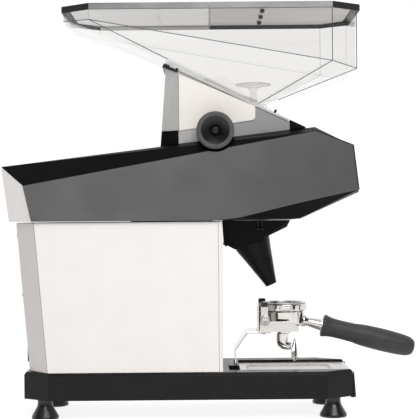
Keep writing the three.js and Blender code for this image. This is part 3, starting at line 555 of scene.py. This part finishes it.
def make_tray():
    """The grounds tray, a pressed sheet with a soft-edged dish in painted shade, and a black sheet of painted
    shade in the gap behind it.
    """
    low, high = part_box("grounds_tray")
    length, width = (high.x - low.x) / MM, (high.y - low.y) / MM
    top = (high.z - low.z) / MM
    dish_length, dish_width, dish_corner, dish_from_rear = 119, 52, 6, 74.5
    dish = (dish_from_rear - length / 2, 0)
    rings = [
        rectangle(length, width, 2, 0), rectangle(length, width, 2, top - 1.2),
        rectangle(length - 0.7, width - 0.7, 1.7, top - 0.35), rectangle(length - 2.4, width - 2.4, 1.2, top),
    ]
    for grow, sink in ((12, 0), (8.5, 0.12), (6, 0.7), (3.5, 1.6), (1.2, 2.35), (-1.6, 2.6)):
        rings.append(rectangle(dish_length + grow, dish_width + grow, dish_corner + grow * 0.6, top - sink,
                               dish))
    place = stand(Vector(((low.x + high.x) / 2, 0, low.z)), Z, X)
    tray = piece("pressed_tray", loft(rings), place, "tray", ("brushed_tray", "dish_painted_shade"),
                 ("grounds_tray",), sharp=60)
    # Painted shade: the dish's upward faces take a darker steel.
    for face in tray.data.polygons:
        in_dish = low.z + 2 * MM < face.center.z < high.z - 0.25 * MM
        face.material_index = int(in_dish and face.normal.z > 0.5)
    # Painted shade: a dead black sheet in the gap behind the tray, where the recess lies in shadow.
    sheet_length, sheet_width, sheet_thickness = 13.6, 115, 0.6
    shade_sheet = loft([rectangle(sheet_length, sheet_width, 2, z) for z in (0, sheet_thickness)])
    piece("recess_painted_shade", shade_sheet, stand(at(37.6, 0, 60.6), Z, X), "frame", "matte_black")


# ---- Grind setting knob -----------------------------------------------------------------

def make_knob():
    """A dished knob: a satin ring, a dark cone inside it and a turned hub."""
    low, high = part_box("adjust_knob")
    centre = Vector(((low.x + high.x) / 2, low.y, (low.z + high.z) / 2))
    depth = (high.y - low.y) / MM
    place = stand(centre, Y)
    rim = fillet([
        (20.4, 1.4), (20.9, 0.1, 0.4), (25.2, 0, 1.4), (27, 1.9, 1.2), (27, depth - 2.5, 1.5),
        (25, depth, 1), (7, depth), (7, depth - 3), (20.4, depth - 3),
    ])
    piece("knob_ring", lathe(rim, closed=True, count=96), place, "grind_knob", "knob_black",
          ("adjust_knob",))
    cone = fillet([(5.2, 14.6, 0.8), (19.4, 2.2, 0.8), (20.5, 1.5), (20.5, 4), (7, 17.5), (5.2, 17.5)])
    piece("knob_cone", lathe(cone, closed=True, count=96), place, "grind_knob", "dish_black")
    hub = fillet([(0, 9), (4.6, 9, 0.7), (5.3, 10, 0.6), (5.3, depth), (0, depth)])
    piece("knob_hub", lathe(hub), place, "grind_knob", "blackened_steel")


# ---- Portafilter ------------------------------------------------------------------------

HANDLE_DROP = 0.249    # radians below level


def make_portafilter():
    """The cup with its basket and lugs, the neck and handle that slope down from it, and its spouts."""
    low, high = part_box("filter_basket")
    centre = Vector(((low.x + high.x) / 2, 0, 0))
    cup = fillet([
        (5, 116), (10, 116, 0.8), (10, 124, 1), (23.5, 126, 3), (30.6, 131, 3), (31, 149.6, 1),
        (34.2, 151.5, 1), (34.5, 160.6, 0.9), (33.4, 161.5, 0.4), (30, 161.5), (29.8, 150, 1),
        (28.5, 148, 1), (28.5, 133, 2), (5, 128.5),
    ])
    piece("portafilter_cup", lathe(cup, closed=True, count=96), stand(centre, Z, X), "portafilter",
          "chrome", ("portafilter_body",))
    basket = fillet([
        (0, 137.2), (23.4, 137.2, 2), (27.2, 140.4, 2), (29.2, 161.8, 0.5), (33, 161.9, 0.5),
        (33.1, 163.1, 0.5), (28.6, 163.1, 0.8), (26.5, 141.4, 2), (23, 138.4, 1.5), (0, 138.2),
    ])
    piece("pressed_basket", lathe(basket, count=96), stand(centre, Z, X), "portafilter", "turned_steel",
          ("filter_basket",))
    for name, side in (("lug_left", -1), ("lug_right", 1)):
        lug = prism([(-9, 32), (9, 32), (8, 38.5), (-8, 38.5)], 152.8, 158.2)
        piece("portafilter_" + name, lug, stand(centre, Z, X * -side), "portafilter",
              "chrome", bevel=0.8)
    start = centre + Vector((29.5, 0, 134.5)) * MM
    along = Vector((math.cos(HANDLE_DROP), 0, -math.sin(HANDLE_DROP)))
    neck = fillet([
        (0, -4), (8.6, -4), (9, 0.5, 1.2), (8, 3.6, 1), (6.3, 7, 1.5), (8.4, 25, 1), (8.6, 28.6),
        (5, 28.8), (5, 40), (0, 40),
    ])
    piece("portafilter_neck", lathe(neck), stand(start, along, Y), "portafilter", "chrome")
    shape = flow([
        (16.6, 0.9), (16.7, 3.2), (14.9, 10), (13.9, 22), (14.2, 44), (14.5, 50), (15.3, 55.5), (16.2, 66),
        (16.8, 84), (16.8, 102), (15.8, 123), (14.1, 134), (10.4, 140.6), (5, 142.8),
    ])
    handle = [(0, 11.5), (5.2, 11), (5.2, 0.6), (14.5, 0), *shape, (0, 143)]
    piece("soft_handle", lathe(handle, count=96), stand(start + along * 29.2 * MM, along, Y),
          "portafilter", "grip_rubber", ("portafilter_handle",))
    make_spouts(centre)


def make_spouts(centre):
    """A bent pipe under the cup with two open spoons on its end."""
    around = 40
    path = [(-2, 115.6), (-2.4, 110), (-2.6, 105), (-1.8, 101), (1, 98.4), (5, 97), (10.5, 96.4)]
    radii = [9.6, 9.4, 9.2, 8.8, 7.8, 6.6, 5.8]
    rings = []
    for i, ((x, z), radius) in enumerate(zip(path, radii)):
        before, after = path[max(i - 1, 0)], path[min(i + 1, len(path) - 1)]
        heading = Vector((after[0] - before[0], 0, after[1] - before[1])).normalized()
        across = heading.cross(Y)
        rings.append([Vector((x, 0, z)) + across * radius * math.cos(math.tau * k / around)
                      + Y * radius * math.sin(math.tau * k / around) for k in range(around)])
    place = stand(centre, Z, X)
    piece("spout_elbow", loft(rings), place, "portafilter", "chrome", ("portafilter_spout",))
    for name, side in (("left", -1), ("right", 1)):
        piece("spout_spoon_" + name, spoon(side), place, "portafilter", "chrome", sharp=70)


def spoon(side):
    """An open trough that starts narrow beside the elbow, widens downwards and ends in a round lip."""
    rings = []
    steps, around = 18, 12
    wall = 1.1
    lip_starts, lip_length = 0.8, 0.215
    opening = math.radians(150)
    for i in range(steps):
        t = i / (steps - 1)
        centre = Vector((11.6 + 4.2 * (1 - t) ** 2 + 1.8 * t, side * (5.6 + 4.5 * t), 107 - 32 * t))
        outer = 0.6 + 6 * math.sin(math.pi * (0.03 + 0.62 * t))
        if t > lip_starts:
            outer *= math.sqrt(1 - ((t - lip_starts) / lip_length) ** 2)
        inner = outer - min(wall, outer * 0.5)
        ring = []
        for radius, shares in ((outer, range(around + 1)), (inner, range(around, -1, -1))):
            for k in shares:
                angle = -math.pi + opening / 2 + (math.tau - opening) * k / around
                ring.append(centre + Vector((radius * math.cos(angle), radius * math.sin(angle), 0)))
        rings.append(ring)
    return loft(rings)


# ---- Fork, hooks and thumbscrews --------------------------------------------------------

def make_fork_trim():
    """Rubber caps on the fork's hooks, and knurled heads for its thumbscrews."""
    for name, side in (("left", -1), ("right", 1)):
        low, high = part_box("hook_" + name)
        middle = (low + high) / 2
        width = (high.x - low.x) / MM
        outer = (high.y if side > 0 else low.y) / MM
        inner = (low.y if side > 0 else high.y) / MM
        spans = sorted((outer + side * 0.5, inner - side * 0.4))
        cap = loft([
            rectangle(width - 1, spans[1] - spans[0] - 1, 1.4, -6, (0, sum(spans) / 2)),
            rectangle(width + 0.6, spans[1] - spans[0], 1.8, -5.2, (0, sum(spans) / 2)),
            rectangle(width + 0.6, spans[1] - spans[0], 1.8, 0.2, (0, sum(spans) / 2)),
            rectangle(width - 1.2, spans[1] - spans[0] - 1.6, 1.4, 1, (0, sum(spans) / 2)),
        ])
        piece("hook_cap_" + name, cap, stand(Vector((middle.x, 0, high.z)), Z, X), "hook_" + name,
              "foot_rubber")
        low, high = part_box("thumbscrew_" + name)
        middle = (low + high) / 2
        root = Vector((middle.x, low.y if side > 0 else high.y, middle.z))
        depth = (high.y - low.y) / MM
        screw = fillet([
            (2.4, 0), (7.2, 0, 0.5), (7.6, 0.9), (7.6, depth - 1.2), (7.1, depth - 0.3, 0.5), (6.4, depth),
            (6.1, depth - 0.35), (5.6, depth - 0.35), (5.3, depth), (0.6, depth), (0, depth - 0.3),
            (0, depth - 1), (2.4, depth - 1),
        ])
        piece("knurled_screw_" + name, lathe(screw, count=144, flutes=36, depth=0.3),
              stand(root, Y * side), "thumbscrew_" + name, "turned_steel",
              ("thumbscrew_" + name,), sharp=50)


# ---- Spout above the portafilter --------------------------------------------------------

def make_funnel():
    """The moulded funnel, a smooth cone with a soft lip, and the bolt and two latch pins beside it."""
    top, end = at(66.8, 0, 253.3), at(94.8, 0, 190.4)
    along = (end - top).normalized()
    length = (end - top).length / MM
    walls = flow([
        (27, -6), (27, 2), (22, length * 0.28), (15.6, length * 0.62), (9.4, length * 0.95), (8.9, length),
    ])
    inner = [(p.x - 1.8, p.y + 0.2) for p in reversed(walls)]
    cone = [*walls, (8.2, length + 0.5), *inner]
    piece("moulded_funnel", lathe(cone, closed=True, count=96), stand(top, along, Y), "frame",
          "black_plastic", ("grounds_funnel",))
    bolt("spout_bolt", at(27, -12, 253), Vector((-0.62, 0, -0.78)), "frame", 3.8, 4.2)
    for name, x in (("rear", 74), ("front", 79.5)):
        pin = fillet([(0, 0), (1.6, 0), (1.6, 9, 0.5), (2.6, 10, 0.6), (2.6, 13, 0.8), (0, 13)])
        piece("latch_pin_" + name, lathe(pin, count=32), stand(at(x, -40.4, 286), -Z), "frame",
              "blackened_steel")


def bolt(name, place, axis, body, radius, height, look="blackened_steel"):
    """A socket-head screw with its hexagon."""
    count = 48
    flat = radius * 0.52

    def hexagon(z):
        ring = []
        for i in range(count):
            angle = math.tau * i / count
            reach = flat / math.cos((angle % (math.pi / 3)) - math.pi / 6)
            ring.append(Vector((reach * math.cos(angle), reach * math.sin(angle), z)))
        return ring

    rings = [
        circle(radius, 0, count), circle(radius, height * 0.82, count),
        circle(radius * 0.93, height * 0.95, count), circle(radius * 0.84, height, count),
        hexagon(height), hexagon(height * 0.45),
    ]
    piece(name, loft(rings), stand(place, axis), body, look)


# ---- Hopper and lid ---------------------------------------------------------------------

def make_guard():
    """The clear mushroom over the throat that keeps fingers off the burrs."""
    guard = fillet([
        (0, 467), (6.3, 467, 0.6), (5.4, 474, 1), (5.4, 482, 2), (9, 488, 3), (26.4, 491.2, 1),
        (27, 492.2, 0.6), (26.2, 493.3, 0.8), (9, 494.4, 2), (0, 496),
    ])
    piece("clear_guard", lathe(guard), stand(at(70, 0, 0)), "hopper", "guard_clear",
          ("finger_guard",))


def make_lid_trim():
    """Metal rails along the lid's long sides, linings and rubber buffers under it, and side strips."""
    seam = at(4.7, 0, 0).x / MM
    corners = {"rear": at(-168.7, 0, 0).x / MM, "front": at(181.1, 0, 0).x / MM}
    low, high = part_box("lid_front")
    ends = {"rear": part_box("lid_rear")[0].x / MM, "front": high.x / MM}
    bottom, top, edge = low.z / MM, high.z / MM, high.y / MM
    rail_thickness, rail_sink = 0.45, 0.05
    lining_half_width, lining_nose, lining_bottom, lining_top = 89, 60, 596.7, 597.2
    for half, body in (("rear", "hopper"), ("front", "lid_flap")):
        way = 1 if half == "front" else -1
        near, far = seam + way * 0.5, corners[half]
        for side, sign in (("left", -1), ("right", 1)):
            rail = prism([
                (near, bottom + 0.5), (far, bottom + 0.5), (far, top - 0.4), (near, top - 0.4),
            ], 0, rail_thickness)
            place = Matrix.Translation(Y * sign * (edge - rail_sink) * MM) @ upright(sign)
            piece(f"lid_rail_{half}_{side}", rail, place, body, "lid_rail", bevel=0.15)
        near, nose = seam + way * 1.2, seam + way * (abs(ends[half] - seam) - 11)
        panel = prism([
            (near, -lining_half_width), (far, -lining_half_width), (nose, -lining_nose),
            (nose, lining_nose), (far, lining_half_width), (near, lining_half_width),
        ], lining_bottom, lining_top)
        lining = "lid_underside" if half == "front" else "lid_lining_pale"
        piece("lid_lining_" + half, panel, Matrix.Scale(MM, 4), body, lining, bevel=0.1)
        for i, y in enumerate((-54, 0, 54)):
            stop = fillet([(0, 0), (3.2, 0, 0.8), (3.4, 5.1), (0, 5.1)])
            buffer_at = Vector((seam + way * 77.5, y, 591.7)) * MM
            piece(f"lid_buffer_{half}_{i + 1}", lathe(stop, count=32), stand(buffer_at), body,
                  "foot_rubber" if half == "front" else lining)
    strip_bottom, strip_top, strip_thickness, strip_y = 591.8, 597, 0.4, 95.2
    front, rear = seam - 1, corners["rear"]
    for side, sign in (("left", -1), ("right", 1)):
        strip = prism([
            (front, strip_bottom), (rear, strip_bottom), (rear, strip_top), (front, strip_top),
        ], 0, strip_thickness)
        place = Matrix.Translation(Y * sign * strip_y * MM) @ upright(sign)
        piece("lid_side_strip_" + side, strip, place, "hopper", "lid_lining_pale")


def upright(sign):
    """The matrix that stands a flat mesh of (x, z) millimetres up, its thickness outwards."""
    return Matrix(((1, 0, 0, 0), (0, 0, sign, 0), (0, 1, 0, 0), (0, 0, 0, 1))) @ Matrix.Scale(MM, 4)


def make_seat_cap():
    """The black cap over the seat's rear end, and a grey rail down each side of its slope."""
    fall, rear = 0.47, 61.4
    slope = Vector((1, 0, -fall)).normalized()
    up = Vector((fall, 0, 1)).normalized()
    turn = Matrix((slope, Y, up)).transposed().to_4x4()
    place = Matrix.Translation(at(-rear, 0, 491.1 + fall * rear)) @ turn @ Matrix.Scale(MM, 4)
    outline = ((-2.2, 41), (19.8, 61.2), (22.6, 61.2), (22.6, -61.2), (19.8, -61.2), (-2.2, -41))
    piece("seat_end_cap", prism(outline, -6.6, -0.3), place, "frame", "lid_black",
          bevel=0.8)
    section = ((22.8, -3.4), (200.6, -3.4), (200.6, -0.4), (22.8, -0.4))
    for side, sign in (("left", -1), ("right", 1)):
        rail = loft([[Vector((x, sign * y, z)) for x, z in section] for y in (60.3, 61.3)])
        piece("seat_rail_" + side, rail, place, "frame", "rail_grey", bevel=0.2)


def make_head_trim():
    """The dark rim of the head shell that stands round the front of each side panel."""
    rim_y, rim_radius = 88.8, 0.75
    corners = ((156.6, 416), (210.2, 394.6), (217.7, 330.4))
    for side, sign in (("left", -1), ("right", 1)):
        for i, (start, end) in enumerate(zip(corners, corners[1:])):
            a, b = (at(x, sign * rim_y, z) for x, z in (start, end))
            rim = loft([circle(rim_radius, z, 12) for z in (0, (b - a).length / MM)])
            piece(f"head_rim_{side}_{i + 1}", rim, stand(a, b - a), "frame", "head_black",
                  sharp=80)


# ---- Head front, rear cover and base fittings -------------------------------------------

def make_front_details():
    """A bezel round the display, three grey tiles on its glass, and each button's collar and face."""
    low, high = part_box("display_lens")
    centre = (low + high) / 2
    height = math.hypot(high.x - low.x, high.z - low.z) / MM
    panel_low, panel_top = Vector((220.6, 0, 328)), Vector((210.4, 0, 394.8))
    up = (panel_top - panel_low).normalized()
    out = Y.cross(up)
    turn = Matrix((Y, up, out)).transposed().to_4x4()
    place = Matrix.Translation(centre + out * 0.6 * MM) @ turn @ Matrix.Scale(MM, 4)
    wide, tall = (high.y - low.y) / MM, height - 2
    bezel = loft([
        rectangle(wide + 5, tall + 5, 3.4, -0.6), rectangle(wide + 5, tall + 5, 3.4, 0.5),
        rectangle(wide + 4, tall + 4, 3, 1.1), rectangle(wide - 0.6, tall - 0.6, 1.6, 1.1),
        rectangle(wide - 1.6, tall - 1.6, 1.4, 0.3), rectangle(wide - 1.6, tall - 1.6, 1.4, -0.6),
    ], closed=True)
    piece("display_bezel", bezel, place, "frame", "black_plastic")
    for i, x in enumerate((-20, 0, 20)):
        tile = prism([(x - 6, -5), (x + 6, -5), (x + 6, 5), (x - 6, 5)], 0.25, 0.55)
        piece(f"display_tile_{i + 1}", tile, place, "frame", "tile_grey", bevel=0.1)
    for name in ("single", "double", "menu"):
        low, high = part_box("button_" + name)
        middle = (low + high) / 2
        radius = (high.y - low.y) / 2 / MM
        ring = fillet([
            (radius + 0.6, 0), (radius + 2.2, 0), (radius + 2.2, 0.7, 0.4), (radius + 0.6, 1.1, 0.4),
        ])
        collar_at = middle + out * 0.2 * MM
        piece("button_collar_" + name, lathe(ring, closed=True), stand(collar_at, out), "frame",
              "button_steel")
        rim = radius - 0.4
        cap = fillet([(0, -0.95), (rim, -0.95), (rim, 0.05, 0.3), (radius - 2.2, -0.25, 0.3), (0, -0.7)])
        cap_at = middle + out * 2.85 * MM
        piece("button_face_" + name, lathe(cap), stand(cap_at, out), "button_" + name, "button_steel")


def make_fasteners():
    """Screws on the rear cover, under the base and in the bracket, and the pins of the mains inlet."""
    lean = 0.084
    back = Vector((-1, 0, -lean)).normalized()
    for i, z in enumerate((92, 180, 268)):
        for j, y in enumerate((-46, 46)):
            x = -263.4 - lean * (z - 69)
            bolt(f"cover_screw_{i + 1}_{j + 1}", at(x, y, z) - back * 0.6 * MM, back, "frame", 2.9, 2.2)
    for i, x in enumerate((-200, -60, 60, 150)):
        for j, y in enumerate((-66, 66)):
            bolt(f"base_screw_{i + 1}_{j + 1}", at(x, y, 30.4), -Z, "frame", 3.2, 2.2)
    for j, y in enumerate((-22, 22)):
        bolt(f"bracket_bolt_{j + 1}", at(82, y, 119.4), -Z, "frame", 3.4, 2.4, "turned_steel")
    inlet_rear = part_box("mains_inlet")[0].x
    for i, y in enumerate((-30, -24, -18)):
        pin = [rectangle(5.2, 2.4, 0.6, z) for z in (0, 15.2)]
        pin.append(rectangle(4.2, 1.4, 0.4, 16.2))
        root = Vector((inlet_rear + 18 * MM, y * MM, 97.25 * MM))
        piece(f"inlet_pin_{i + 1}", loft(pin), stand(root, -X, Z), "frame", "turned_steel")


def make_hopper_marks():
    """Thin lines of painted shade along the edges of the hopper's sides, dark on the left and faint on the
    right.
    """
    toward, inset = at(0, 0, 540), 0.4 * MM
    for side, sign, radius, look in (("left", -1, 0.6, "edge_grey"), ("right", 1, 0.3, "edge_faint")):
        y = sign * 94
        corners = {
            "rear_low": (-169, y, 577.8), "rear_end": (-209, sign * 64, 580),
            "waist": (-57, sign * 71, 523), "waist_high": (-57, y, 558), "front_low": (181, y, 516),
            "front_top": (181, y, 592), "front_end": (219.5, sign * 64, 508),
            "end_top": (219.5, sign * 64, 592), "toe": (76, sign * 50, 459), "tip": (106, sign * 30, 466),
        }
        runs = (
            ("rear_end", "rear_low"), ("rear_low", "waist_high"), ("rear_low", "waist"),
            ("waist_high", "front_low"), ("front_low", "front_top"), ("front_low", "toe"),
            ("front_low", "front_end"), ("front_end", "end_top"), ("front_end", "tip"),
        )
        for i, (start, end) in enumerate(runs):
            a, b = at(*corners[start]), at(*corners[end])
            a, b = a + (toward - a).normalized() * inset, b + (toward - b).normalized() * inset
            line = loft([circle(radius, z, 10) for z in (0, (b - a).length / MM)])
            piece(f"hopper_edge_{side}_{i + 1}", line, stand(a, b - a), "hopper", look,
                  sharp=80)


make_feet()
make_tray()
make_knob()
make_portafilter()
make_fork_trim()
make_funnel()
make_guard()
make_lid_trim()
make_seat_cap()
make_head_trim()
make_front_details()
make_fasteners()
make_hopper_marks()


# ---- Studio -----------------------------------------------------------------------------

make_camera()
make_world()
make_floor()
for card_name, (degrees, card_width) in CARDS.items():
    make_card(card_name, math.radians(degrees), card_width)
area_light("key", place=(0.4, -1.6, 1.5), size=(1.4, 1.0), power=6.2, spread=85)
area_light("top", place=(0.1, 0.1, 1.9), size=(1.6, 1.2), power=8)
bpy.context.scene.view_settings.view_transform = "Standard"
